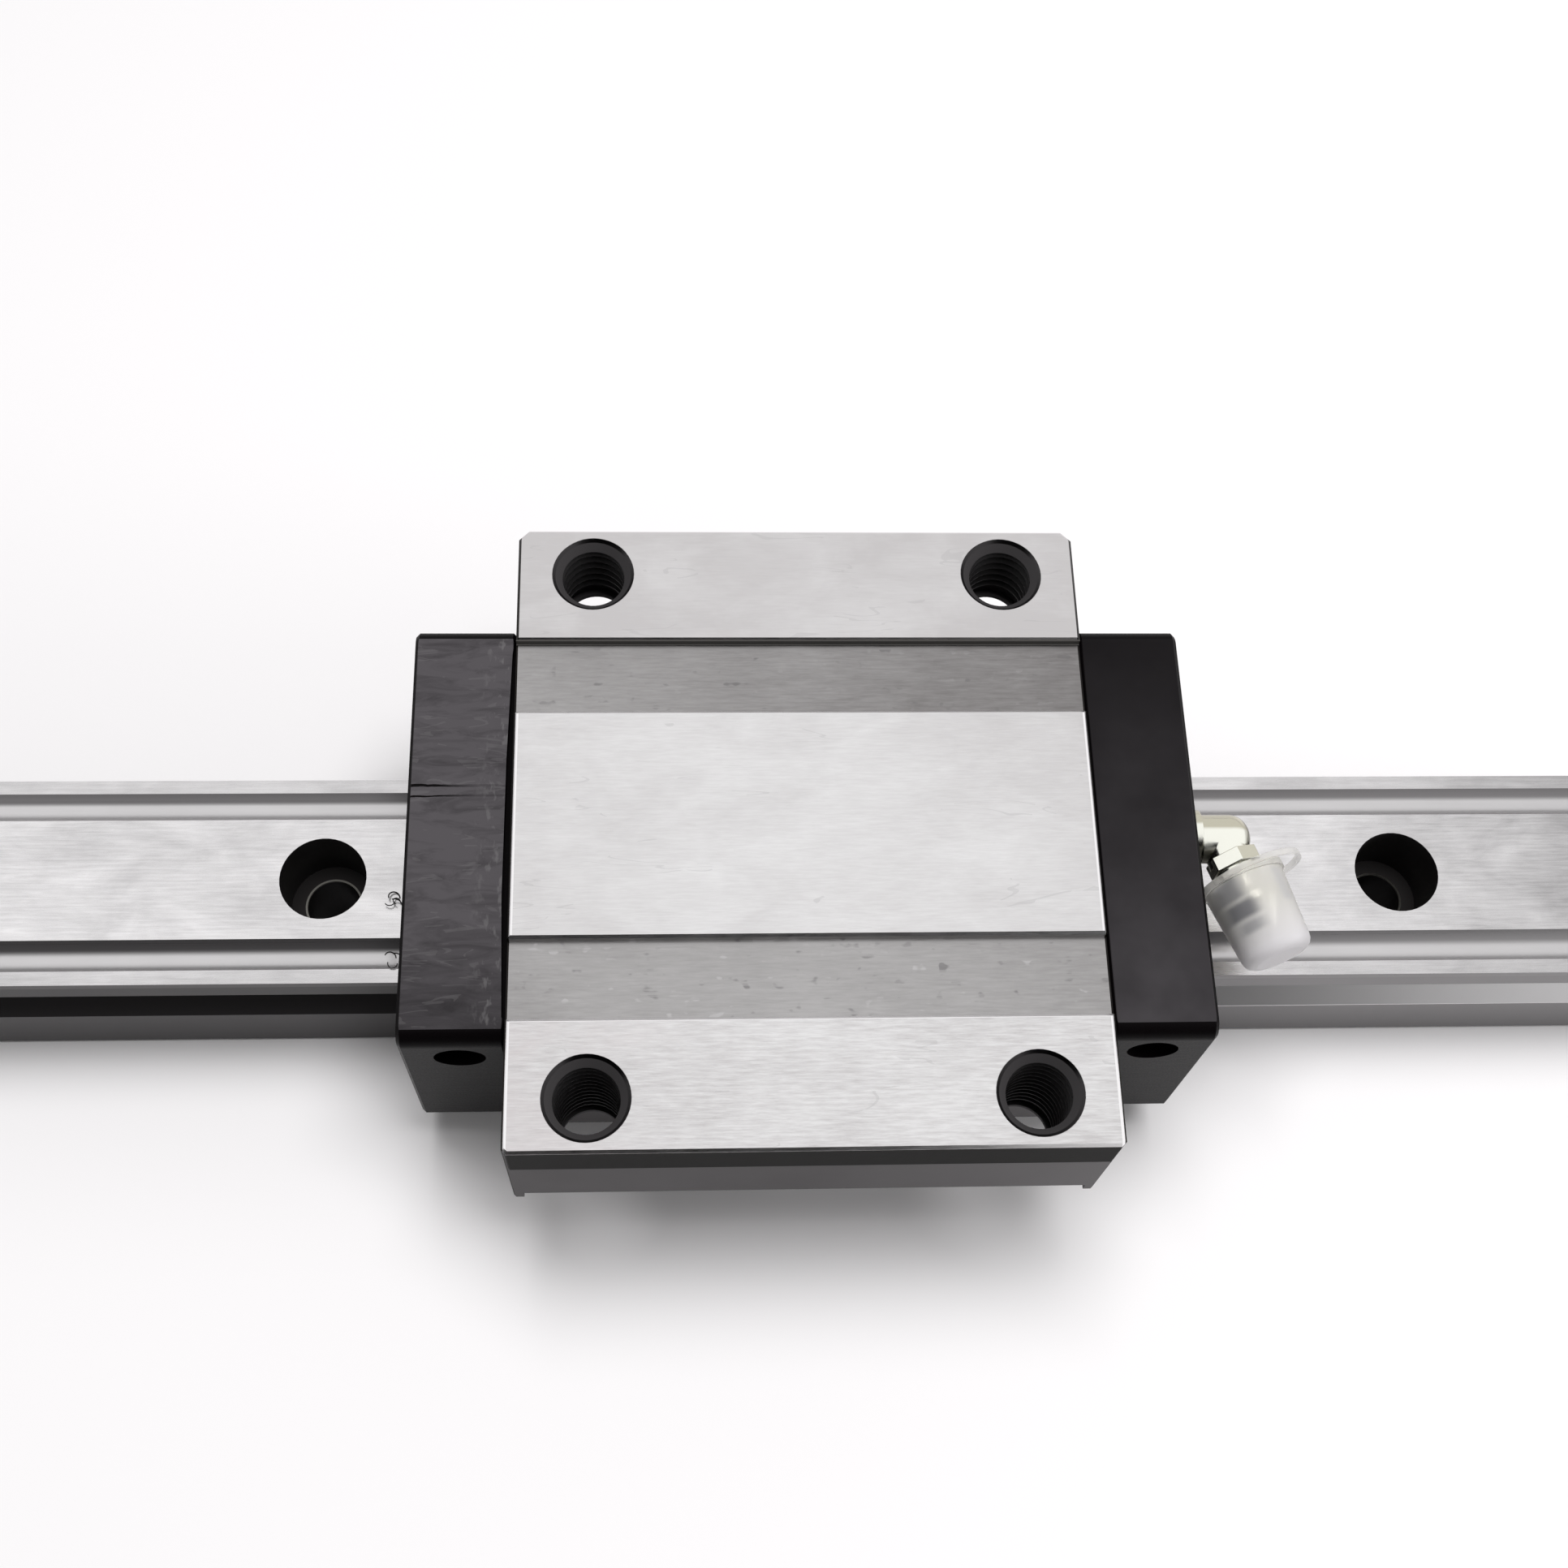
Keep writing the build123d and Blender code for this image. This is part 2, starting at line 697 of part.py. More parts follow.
with BuildPart() as check_spring:
    with BuildSketch(branch_plane(branch_seat)):
        Circle(check_ball_diameter / 2)
        Circle(check_ball_diameter / 2 - check_spring_wall, mode=Mode.SUBTRACT)
    extrude(amount=ball_place - check_ball_diameter / 2 - branch_seat)
save(check_spring.part, "nipple_spring")

# Protective cover: thin cup over the head, with a rim and a tear-off loop
cover_end = cover_start + cover_length
cavity_radius = head_radius + cover_gap
loop_side = loop_offset * cos(radians(loop_direction))
loop_rise = loop_offset * sin(radians(loop_direction))
with BuildPart() as nipple_cover:
    with BuildSketch(branch_profile) as cover_profile:
        with BuildLine():
            Polyline(
                (0, cover_start),
                (cover_rim_diameter / 2, cover_start),
                (cover_rim_diameter / 2, cover_start + cover_rim_thickness),
                (cover_diameter / 2, cover_start + cover_rim_thickness),
                (cover_tip_diameter / 2, cover_end),
                (0, cover_end),
                close=True,
            )
        make_face()
    revolve(axis=branch_axis)
    fillet(nipple_cover.edges().sort_by(branch_axis)[-1], radius=cover_tip_fillet)
    with BuildSketch(branch_plane(cover_start)):
        with Locations((loop_side, loop_rise)):
            Circle(loop_diameter / 2)
            Circle(loop_hole_diameter / 2, mode=Mode.SUBTRACT)
    extrude(amount=cover_rim_thickness)
    with BuildSketch(branch_profile):
        with BuildLine():
            Polyline(
                (0, cover_start),
                (cavity_radius, cover_start),
                (cavity_radius, band_base + head_band + cover_gap),
                (head_tip_diameter / 2 + cover_gap, cover_end - cover_end_wall),
                (0, cover_end - cover_end_wall),
                close=True,
            )
        make_face()
    revolve(axis=branch_axis, mode=Mode.SUBTRACT)
save(nipple_cover.part, "nipple_cover")
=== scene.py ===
from math import cos, pi, radians, sin

import bmesh
import bpy
from mathutils import Matrix, Vector


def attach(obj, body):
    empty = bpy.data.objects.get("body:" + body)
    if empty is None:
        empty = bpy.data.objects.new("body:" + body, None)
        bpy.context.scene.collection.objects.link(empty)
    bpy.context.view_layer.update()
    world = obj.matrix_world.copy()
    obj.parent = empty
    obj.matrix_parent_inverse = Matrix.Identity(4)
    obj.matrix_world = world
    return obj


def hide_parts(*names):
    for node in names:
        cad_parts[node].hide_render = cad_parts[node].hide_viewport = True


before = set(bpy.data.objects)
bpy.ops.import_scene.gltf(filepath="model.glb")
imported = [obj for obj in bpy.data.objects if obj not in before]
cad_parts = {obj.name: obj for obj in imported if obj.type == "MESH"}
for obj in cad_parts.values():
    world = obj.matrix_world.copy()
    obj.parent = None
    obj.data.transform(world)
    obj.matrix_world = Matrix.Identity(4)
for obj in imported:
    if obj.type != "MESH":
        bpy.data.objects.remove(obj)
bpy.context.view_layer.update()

# All sizes in metres. The frame's origin is the middle of the rail's underside.
MM = 0.001
CARRIAGE_MIDDLE = -7.7 * MM
PAD_EDGE = 12.8 * MM
STRIP_EDGE = 21.3 * MM
STRIP_TOP = 35.0 * MM
CAP_FACE = 33.9 * MM
BOLT_X = 22.5 * MM
BOLT_Y = 29.5 * MM
THREAD_RADIUS = 4.0 * MM
CORE_RADIUS = 3.4 * MM
THREAD_PITCH = 1.25 * MM
RAIL_PITCH = 40 * MM
# Middle of the nipple's branch, and the direction it points in
ELBOW = Vector((CAP_FACE + 3.3 * MM, 0, 31.2 * MM))
BRANCH = Vector((cos(radians(70.8)), -sin(radians(70.8)), 0))


# ---- node trees ----

def add_node(tree, kind, inputs=None, **settings):
    """A node with its settings and inputs; an input is a value or another node's socket."""
    made = tree.nodes.new(kind)
    for name, value in settings.items():
        setattr(made, name, value)
    for name, value in (inputs or {}).items():
        if isinstance(value, bpy.types.NodeSocket):
            tree.links.new(value, made.inputs[name])
        else:
            made.inputs[name].default_value = value
    return made


def math(tree, operation, *values, clamp=False):
    made = add_node(tree, "ShaderNodeMath", dict(enumerate(values)), operation=operation, use_clamp=clamp)
    return made.outputs[0]


def near_value(tree, value, middle, reach):
    """1 where value lies within reach of middle, else 0."""
    return math(tree, "COMPARE", value, middle, reach)


def both(tree, *masks):
    result = masks[0]
    for mask in masks[1:]:
        result = math(tree, "MULTIPLY", result, mask)
    return result


def remap(tree, value, low, high, new_low, new_high, smooth=False):
    made = add_node(
        tree,
        "ShaderNodeMapRange",
        {"Value": value, "From Min": low, "From Max": high, "To Min": new_low, "To Max": new_high},
        interpolation_type="SMOOTHSTEP" if smooth else "LINEAR",
    )
    return made.outputs[0]


def mix_value(tree, mask, a, b):
    made = add_node(tree, "ShaderNodeMix", data_type="FLOAT")
    for place, value in ((0, mask), (2, a), (3, b)):
        if isinstance(value, bpy.types.NodeSocket):
            tree.links.new(value, made.inputs[place])
        else:
            made.inputs[place].default_value = value
    return made.outputs[0]


def mix_colour(tree, mask, a, b):
    made = add_node(tree, "ShaderNodeMix", data_type="RGBA")
    for place, value in ((0, mask), (6, a), (7, b)):
        if isinstance(value, bpy.types.NodeSocket):
            tree.links.new(value, made.inputs[place])
        elif place:
            made.inputs[place].default_value = (*value, 1) if len(value) == 3 else value
        else:
            made.inputs[place].default_value = value
    return made.outputs[2]


def scaled(tree, vector, x, y, z):
    made = add_node(tree, "ShaderNodeVectorMath", {0: vector, 1: (x, y, z)}, operation="MULTIPLY")
    return made.outputs[0]


def noise(tree, vector, scale=1.0, detail=3.0, roughness=0.55, distortion=0.0):
    made = add_node(
        tree,
        "ShaderNodeTexNoise",
        {"Vector": vector, "Scale": scale, "Detail": detail, "Roughness": roughness, "Distortion": distortion},
    )
    return made.outputs[0]


def shade(level, warmth=0.0, blush=1.0):
    """Linear colour of a grey given as on screen, 0 to 255, with less blue and less green."""
    def linear(value):
        value = max(value, 0) / 255
        return value / 12.92 if value <= 0.04045 else ((value + 0.055) / 1.055) ** 2.4
    return (linear(level + blush), linear(level - blush), linear(level - warmth))


def new_group(name, inputs, outputs):
    """Empty node group; inputs and outputs are (name, kind, start value) and (name, kind)."""
    tree = bpy.data.node_groups.new(name, "ShaderNodeTree")
    for label, kind, *start in inputs:
        socket = tree.interface.new_socket(label, in_out="INPUT", socket_type="NodeSocket" + kind)
        if start:
            socket.default_value = start[0]
    for label, kind in outputs:
        tree.interface.new_socket(label, in_out="OUTPUT", socket_type="NodeSocket" + kind)
    return tree, tree.nodes.new("NodeGroupInput").outputs, tree.nodes.new("NodeGroupOutput").inputs


def use_group(tree, group, inputs):
    return add_node(tree, "ShaderNodeGroup", inputs, node_tree=group).outputs


def make_grinding_group():
    """Marks that a grinding wheel leaves: fine lines and broad bands along X, and cloudy patches."""
    tree, given, put = new_group(
        "grinding",
        [("Place", "Vector"), ("Line Length", "Float", 6.0), ("Line Width", "Float", 0.12)],
        [("Lines", "Float"), ("Bands", "Float"), ("Clouds", "Float")],
    )
    along = math(tree, "DIVIDE", 1000.0, given["Line Length"])
    across = math(tree, "DIVIDE", 1000.0, given["Line Width"])
    pitch = add_node(tree, "ShaderNodeCombineXYZ", {"X": along, "Y": across, "Z": across}).outputs[0]
    lines_at = add_node(tree, "ShaderNodeVectorMath", {0: given["Place"], 1: pitch}, operation="MULTIPLY").outputs[0]
    bands_at = scaled(tree, lines_at, 0.35, 0.16, 0.16)
    tree.links.new(noise(tree, lines_at, detail=4.0, roughness=0.7), put["Lines"])
    tree.links.new(noise(tree, bands_at, detail=3.0, roughness=0.6), put["Bands"])
    clouds_at = scaled(tree, given["Place"], 90.0, 160.0, 160.0)
    tree.links.new(noise(tree, clouds_at, detail=4.0, roughness=0.6, distortion=0.4), put["Clouds"])
    return tree


def make_hairline_group():
    """Sparse hair-thin scratches that wander along X."""
    tree, given, put = new_group(
        "hairlines",
        [("Place", "Vector"), ("Density", "Float", 1.0), ("Width", "Float", 0.02), ("Amount", "Float", 0.5)],
        [("Scratches", "Float")],
    )
    spread = add_node(tree, "ShaderNodeVectorMath", {0: given["Place"], "Scale": given["Density"]}, operation="SCALE")
    lines_at = scaled(tree, spread.outputs[0], 70.0, 420.0, 420.0)
    ridge = math(tree, "ABSOLUTE", math(tree, "SUBTRACT", noise(tree, lines_at, detail=2.0, distortion=0.7), 0.5))
    line = math(tree, "LESS_THAN", ridge, given["Width"])
    where = noise(tree, scaled(tree, spread.outputs[0], 160.0, 330.0, 330.0), detail=2.0)
    chosen = math(tree, "LESS_THAN", where, given["Amount"])
    tree.links.new(both(tree, line, chosen), put["Scratches"])
    return tree


def make_grain_group():
    """Fine even grain of moulded plastic or as-rolled skin, with a slow drift in tone."""
    tree, given, put = new_group(
        "grain",
        [("Place", "Vector"), ("Size", "Float", 0.15)],
        [("Grain", "Float"), ("Drift", "Float")],
    )
    fine = math(tree, "DIVIDE", 1000.0, given["Size"])
    tree.links.new(noise(tree, given["Place"], scale=fine, detail=2.0), put["Grain"])
    slow = math(tree, "DIVIDE", fine, 40.0)
    tree.links.new(noise(tree, given["Place"], scale=slow, detail=3.0), put["Drift"])
    return tree


grinding = make_grinding_group()
hairlines = make_hairline_group()
grain = make_grain_group()


def start_material(name):
    """A material with an empty tree and its object coordinates: (material, tree, place, x, y, z)."""
    material = bpy.data.materials.new(name)
    material.use_nodes = True
    tree = material.node_tree
    tree.nodes.clear()
    place = tree.nodes.new("ShaderNodeTexCoord").outputs["Object"]
    axes = add_node(tree, "ShaderNodeSeparateXYZ", {0: place}).outputs
    return material, tree, place, axes[0], axes[1], axes[2]


def finish_material(tree, height=None, depth=0.00002, strength=0.5, **inputs):
    """Principled shader with the given inputs and an optional relief, joined to the output."""
    shader = tree.nodes.new("ShaderNodeBsdfPrincipled")
    for name, value in inputs.items():
        socket = shader.inputs[name.replace("_", " ")]
        if isinstance(value, bpy.types.NodeSocket):
            tree.links.new(value, socket)
        elif isinstance(value, tuple) and len(value) == 3:
            socket.default_value = (*value, 1)
        else:
            socket.default_value = value
    if height is not None:
        relief = add_node(
            tree, "ShaderNodeBump", {"Strength": strength, "Distance": depth, "Height": height}
        )
        tree.links.new(relief.outputs[0], shader.inputs["Normal"])
    out = tree.nodes.new("ShaderNodeOutputMaterial")
    tree.links.new(shader.outputs[0], out.inputs[0])
    return shader


def make_block_steel():
    """Ground pads with painted light and shade and painted edge highlights, darker sunk strips with painted shade, a
    near band and bores painted dark as shade, and grey skin.
    """
    material, tree, place, x, y, z = start_material("block_steel")
    streaks = use_group(tree, grinding, {"Place": place, "Line Length": 3.0, "Line Width": 0.3})
    lines = use_group(tree, grinding, {"Place": place, "Line Length": 9.0, "Line Width": 0.1})
    worn = use_group(tree, hairlines, {"Place": place, "Density": 0.8, "Width": 0.008, "Amount": 0.4})
    skin = use_group(tree, grain, {"Place": place, "Size": 0.25})
    side = math(tree, "ABSOLUTE", y)
    from_middle = math(tree, "ABSOLUTE", math(tree, "SUBTRACT", x, CARRIAGE_MIDDLE))
    near_side = math(tree, "LESS_THAN", y, -STRIP_EDGE)
    far_side = math(tree, "GREATER_THAN", y, STRIP_EDGE)

    # How much the grinding shows, and each pad's painted light and shade: far, middle and near one. The pads darken
    # towards their ends, and painted shade darkens the middle pad towards its far right corner
    contrast = mix_value(tree, far_side, mix_value(tree, near_side, 1.0, 2.6), 0.5)
    pad_light_and_shade = mix_value(tree, far_side, mix_value(tree, near_side, 0.66, 0.6), 0.2)
    pad_light_and_shade = math(tree, "SUBTRACT", pad_light_and_shade, remap(tree, from_middle, 12 * MM, 30 * MM, 0.0, 0.14))
    painted_shade_far_right = both(tree, remap(tree, x, -5 * MM, 22 * MM, 0.0, 0.3), remap(tree, y, -5 * MM, 12 * MM, 0.0, 1.0))
    pad_light_and_shade = math(tree, "SUBTRACT", pad_light_and_shade, both(tree, painted_shade_far_right, math(tree, "LESS_THAN", y, 13 * MM)))
    uneven = math(tree, "MULTIPLY", math(tree, "SUBTRACT", streaks["Lines"], 0.5), contrast)
    drift = math(tree, "MULTIPLY", math(tree, "SUBTRACT", streaks["Clouds"], 0.5), 1.1)
    tone = math(tree, "ADD", pad_light_and_shade, math(tree, "ADD", uneven, drift), clamp=True)
    pads = mix_colour(tree, tone, shade(202, 1, 1.5), shade(234, 0, 0.5))
    rosy = remap(tree, x, -38 * MM, -14 * MM, 0.5, 0.0)
    rosy = both(tree, rosy, near_side, remap(tree, lines["Clouds"], 0.4, 0.6, 0, 1))
    pads = mix_colour(tree, rosy, pads, shade(206, 3, 4))
    pads = mix_colour(tree, math(tree, "MULTIPLY", worn["Scratches"], 0.28), pads, shade(180))
    # Painted highlights along the pads' edges
    long_edge_highlight = math(
        tree,
        "MAXIMUM",
        near_value(tree, side, PAD_EDGE - 0.18 * MM, 0.14 * MM),
        near_value(tree, y, -STRIP_EDGE - 0.2 * MM, 0.16 * MM),
    )
    end_edge_highlight = both(tree, near_value(tree, from_middle, 30.33 * MM, 0.14 * MM), math(tree, "LESS_THAN", y, 12.7 * MM))
    edge_highlight = math(tree, "MAXIMUM", long_edge_highlight, end_edge_highlight)
    pads = mix_colour(tree, edge_highlight, pads, shade(248))

    # Strips: painted shade darkening the far one towards the right, pitted on the near one
    far_strip_shade = remap(tree, x, -38 * MM, 23 * MM, 0.62, 0.16)
    near_tone = remap(tree, from_middle, 0.0, 30 * MM, 0.9, 0.68)
    tone = mix_value(tree, math(tree, "LESS_THAN", y, 0.0), far_strip_shade, near_tone)
    dashes = math(tree, "MULTIPLY", math(tree, "SUBTRACT", streaks["Lines"], 0.5), 0.75)
    drift = math(tree, "MULTIPLY", math(tree, "SUBTRACT", lines["Clouds"], 0.5), 0.6)
    tone = math(tree, "ADD", tone, math(tree, "ADD", dashes, drift), clamp=True)
    strips = mix_colour(tree, tone, shade(122, 2, 1.5), shade(182, 1, 1))
    spots = noise(tree, scaled(tree, place, 650.0, 900.0, 900.0), detail=1.0)
    flawed = remap(tree, lines["Bands"], 0.45, 0.6, 0.0, 1.0)
    strips = mix_colour(tree, both(tree, remap(tree, spots, 0.66, 0.74, 0, 0.6), flawed), strips, shade(112))
    pale_spots = remap(tree, y, -13 * MM, 13 * MM, 0.5, 0.12)
    strips = mix_colour(tree, both(tree, remap(tree, spots, 0.33, 0.27, 0, 1), pale_spots, flawed), strips, shade(204))
    # Painted shade along the strips' outer edges, at the foot of the step
    strips = mix_colour(tree, near_value(tree, side, STRIP_EDGE - 0.08 * MM, 0.12 * MM), strips, shade(84))

    # The near band is painted nearly black and dull: painted shade standing in for the shaded floor it mirrors
    band = mix_colour(tree, skin["Grain"], shade(8, 3), shade(14, 3))
    rough_skin = mix_colour(tree, skin["Drift"], shade(84), shade(96))
    rough_skin = mix_colour(tree, remap(tree, x, -8 * MM, 24 * MM, 0.0, 0.5), rough_skin, shade(126))

    strip_area = near_value(tree, side, (PAD_EDGE + STRIP_EDGE) / 2, 4.3 * MM)
    strip_area = both(tree, strip_area, near_value(tree, z, STRIP_TOP, 0.6 * MM))
    top_area = math(tree, "GREATER_THAN", z, 35.65 * MM)
    band_area = both(
        tree, math(tree, "GREATER_THAN", side, 34.8 * MM), near_value(tree, z, 32.8 * MM, 3.12 * MM)
    )
    # Painted shade on the bolt bores' walls and countersinks
    across = math(tree, "SUBTRACT", from_middle, BOLT_X)
    outward = math(tree, "SUBTRACT", side, BOLT_Y)
    from_bolt = math(tree, "SQRT", math(tree, "ADD", both(tree, across, across), both(tree, outward, outward)))
    bore_shade_area = both(tree, math(tree, "LESS_THAN", from_bolt, 4.47 * MM), math(tree, "LESS_THAN", z, 35.97 * MM))

    colour = mix_colour(tree, band_area, rough_skin, band)
    colour = mix_colour(tree, top_area, colour, pads)
    colour = mix_colour(tree, strip_area, colour, strips)
    # Painted shade on the block's ends, in the gaps beside the caps
    end_shade_area = math(tree, "GREATER_THAN", from_middle, mix_value(tree, far_side, 30.52 * MM, 30.4 * MM))
    colour = mix_colour(tree, end_shade_area, colour, shade(38, 2))
    colour = mix_colour(tree, bore_shade_area, colour, shade(62))
    bright = math(tree, "MAXIMUM", top_area, strip_area)
    roughness = mix_value(tree, bright, 0.55, remap(tree, streaks["Lines"], 0.2, 0.8, 0.27, 0.4))
    # Painted shade on the far pad's step wall: dull grey instead of mirror steel
    far_wall_shade = both(tree, near_value(tree, y, STRIP_EDGE, 0.13 * MM), math(tree, "LESS_THAN", z, 35.92 * MM), bright)
    colour = mix_colour(tree, far_wall_shade, colour, shade(92, 3))
    metal = mix_value(tree, bright, mix_value(tree, band_area, 0.15, 0.0), mix_value(tree, far_wall_shade, 1.0, 0.2))
    height = mix_value(tree, bright, skin["Grain"], math(tree, "ADD", streaks["Lines"], lines["Lines"]))
    finish_material(
        tree, height, 0.000006, 0.5, Base_Color=colour, Roughness=roughness, Metallic=metal, Specular_IOR_Level=0.04
    )
    return material


def make_rail_steel():
    """Ground crown and shoulders, smoother grooves, painted shade on the flank left of the carriage and painted light
    on the right one, painted reflection on the steps, and counterbores painted dark as shade.
    """
    material, tree, place, x, y, z = start_material("rail_steel")
    marks = use_group(tree, grinding, {"Place": place, "Line Length": 6.0, "Line Width": 0.3})
    skin = use_group(tree, grain, {"Place": place, "Size": 0.3})

    # Painted shade: the crown, lands and grooves darken towards the right end
    uneven = math(tree, "MULTIPLY", math(tree, "SUBTRACT", marks["Lines"], 0.5), 0.9)
    drift = math(tree, "MULTIPLY", math(tree, "SUBTRACT", marks["Clouds"], 0.5), 1.2)
    tone = math(tree, "ADD", remap(tree, x, 50 * MM, 90 * MM, 0.62, 0.0), math(tree, "ADD", uneven, drift), clamp=True)
    crown = mix_colour(tree, tone, shade(170), shade(243))
    land = mix_colour(tree, tone, shade(174), shade(226))
    crown = mix_colour(tree, math(tree, "LESS_THAN", z, 20.2 * MM), crown, land)
    groove = mix_colour(tree, tone, shade(202), shade(212))

    # Painted shade on the flank left of the carriage and painted light on the flank and waist right of it
    left_in_shade = remap(tree, x, -50 * MM, 40 * MM, 1.0, 0.0)
    lower = math(tree, "LESS_THAN", z, 9.2 * MM)
    flank = mix_colour(tree, left_in_shade, shade(112), mix_colour(tree, lower, shade(46), shade(58)))
    waist_area = near_value(tree, z, 11.3 * MM, 2.2 * MM)
    flank = mix_colour(tree, waist_area, flank, mix_colour(tree, left_in_shade, shade(214), shade(60)))
    flank = mix_colour(tree, math(tree, "MULTIPLY", skin["Drift"], 0.12), flank, shade(60))

    top_area = math(tree, "GREATER_THAN", z, 18.9 * MM)
    flat_area = math(
        tree, "MAXIMUM", math(tree, "GREATER_THAN", z, 20.37 * MM), near_value(tree, z, 20.0 * MM, 0.03 * MM)
    )
    # Counterbores painted dark as shade, with a painted highlight on the through hole's edge
    along = math(tree, "SUBTRACT", RAIL_PITCH / 2, math(tree, "PINGPONG", x, RAIL_PITCH / 2))
    from_hole = math(tree, "SQRT", math(tree, "ADD", both(tree, along, along), both(tree, y, y)))
    hole_shade_area = both(tree, math(tree, "LESS_THAN", from_hole, 4.8 * MM), math(tree, "LESS_THAN", z, 20.3 * MM))
    hole_rim_highlight = both(tree, near_value(tree, from_hole, 3.08 * MM, 0.14 * MM), near_value(tree, z, 11.9 * MM, 0.3 * MM))

    # The steps that face the near side, painted by which way they face: a soft grey painted reflection beyond the
    # crown, painted shade before it
    facing = tree.nodes.new("ShaderNodeNewGeometry").outputs["Normal"]
    back = add_node(tree, "ShaderNodeSeparateXYZ", {0: facing}).outputs[1]
    step_area = both(tree, top_area, remap(tree, back, -0.12, -0.5, 0.0, 1.0, smooth=True))
    far_step = both(tree, step_area, math(tree, "GREATER_THAN", y, 0.0))

    colour = mix_colour(tree, flat_area, groove, crown)
    colour = mix_colour(tree, step_area, colour, mix_colour(tree, left_in_shade, shade(134), shade(84)))
    colour = mix_colour(tree, far_step, colour, shade(118))
    colour = mix_colour(tree, top_area, flank, colour)
    colour = mix_colour(tree, hole_shade_area, colour, shade(42, 1))
    colour = mix_colour(tree, hole_rim_highlight, colour, shade(120, 6))
    ground = remap(tree, marks["Lines"], 0.2, 0.8, 0.22, 0.32)
    roughness = mix_value(tree, top_area, 0.32, mix_value(tree, flat_area, 0.36, ground))
    metal = mix_value(tree, both(tree, hole_shade_area, math(tree, "SUBTRACT", 1.0, hole_rim_highlight)), 1.0, 0.3)
    metal = mix_value(tree, both(tree, left_in_shade, math(tree, "SUBTRACT", 1.0, top_area)), metal, 0.4)
    metal = mix_value(tree, step_area, metal, mix_value(tree, far_step, 0.4, 0.1))
    height = both(tree, flat_area, marks["Lines"])
    finish_material(
        tree, height, 0.000004, 0.5, Base_Color=colour, Roughness=roughness, Metallic=metal, Specular_IOR_Level=0.1
    )
    return material


def make_cap_plastic():
    """Black moulded plastic: dusty and streaked on the left cap's top, cleaner on the right one, whose top carries a
    painted sheen that grows towards the near side.
    """
    material, tree, place, x, y, z = start_material("cap_plastic")
    skin = use_group(tree, grain, {"Place": place, "Size": 0.2})
    rubs = use_group(tree, hairlines, {"Place": place, "Density": 1.5, "Width": 0.022, "Amount": 0.45})
    flow = noise(tree, scaled(tree, place, 170.0, 620.0, 620.0), detail=4.0, roughness=0.62, distortion=0.8)
    to_left = math(tree, "LESS_THAN", x, CARRIAGE_MIDDLE)
    on_top = math(tree, "GREATER_THAN", z, 34.93 * MM)

    # Painted sheen on the right cap's top, growing towards the near side; dust on the left cap's top, thinner towards
    # the near end
    right_sheen = math(tree, "POWER", remap(tree, y, 22 * MM, -22 * MM, 0.3, 1.0), 1.7)
    right_sheen = math(tree, "MULTIPLY", right_sheen, remap(tree, skin["Drift"], 0.3, 0.7, 0.42, 0.68))
    left_dust = remap(tree, y, -6 * MM, -21 * MM, 1.0, 0.55, smooth=True)
    left_dust = math(tree, "MULTIPLY", left_dust, remap(tree, flow, 0.3, 0.7, 0.62, 1.26))
    dust_and_sheen = both(tree, on_top, mix_value(tree, to_left, right_sheen, left_dust))
    colour = mix_colour(tree, dust_and_sheen, shade(7), shade(80, -1.5, 1.5))

    # Rubbed lines: all over the left cap, and bunched along its inner edge
    inner_edge = remap(tree, x, -42.5 * MM, -40.2 * MM, 0.0, 1.0)
    specks = noise(tree, scaled(tree, place, 1500.0, 700.0, 700.0), detail=2.0)
    specks = both(tree, inner_edge, remap(tree, specks, 0.56, 0.68, 0.0, 0.34), to_left)
    worn = both(tree, rubs["Scratches"], math(tree, "MULTIPLY", to_left, 0.13))
    worn = both(tree, on_top, math(tree, "MAXIMUM", worn, specks))
    colour = mix_colour(tree, worn, colour, shade(124))

    # Two fine grooves across the outer half of the left cap
    wander = math(tree, "ADD", y, remap(tree, flow, 0.0, 1.0, -0.25 * MM, 0.25 * MM))
    wider = near_value(tree, wander, 4.6 * MM, 0.14 * MM)
    finer = near_value(tree, wander, 3.4 * MM, 0.12 * MM)
    grooves = math(tree, "MAXIMUM", wider, finer)
    grooves = both(tree, grooves, on_top, to_left, remap(tree, x, -46 * MM, -42 * MM, 1.0, 0.25))
    colour = mix_colour(tree, grooves, colour, shade(8))

    roughness = remap(tree, skin["Grain"], 0.3, 0.7, 0.34, 0.44)
    height = math(tree, "ADD", flow, math(tree, "MULTIPLY", skin["Grain"], 0.3))
    finish_material(tree, height, 0.00004, 0.5, Base_Color=colour, Roughness=roughness, IOR=1.135)
    return material


def make_grained(name, dark, light, size, roughness, metallic=0.0, relief=0.00001):
    """Plain finish with fine grain and a slow drift between two greys."""
    material, tree, place, x, y, z = start_material(name)
    skin = use_group(tree, grain, {"Place": place, "Size": size})
    colour = mix_colour(tree, skin["Drift"], shade(dark), shade(light))
    rough = remap(tree, skin["Grain"], 0.3, 0.7, roughness * 0.85, roughness * 1.15)
    finish_material(tree, skin["Grain"], relief, 0.5, Base_Color=colour, Roughness=rough, Metallic=metallic)
    return material


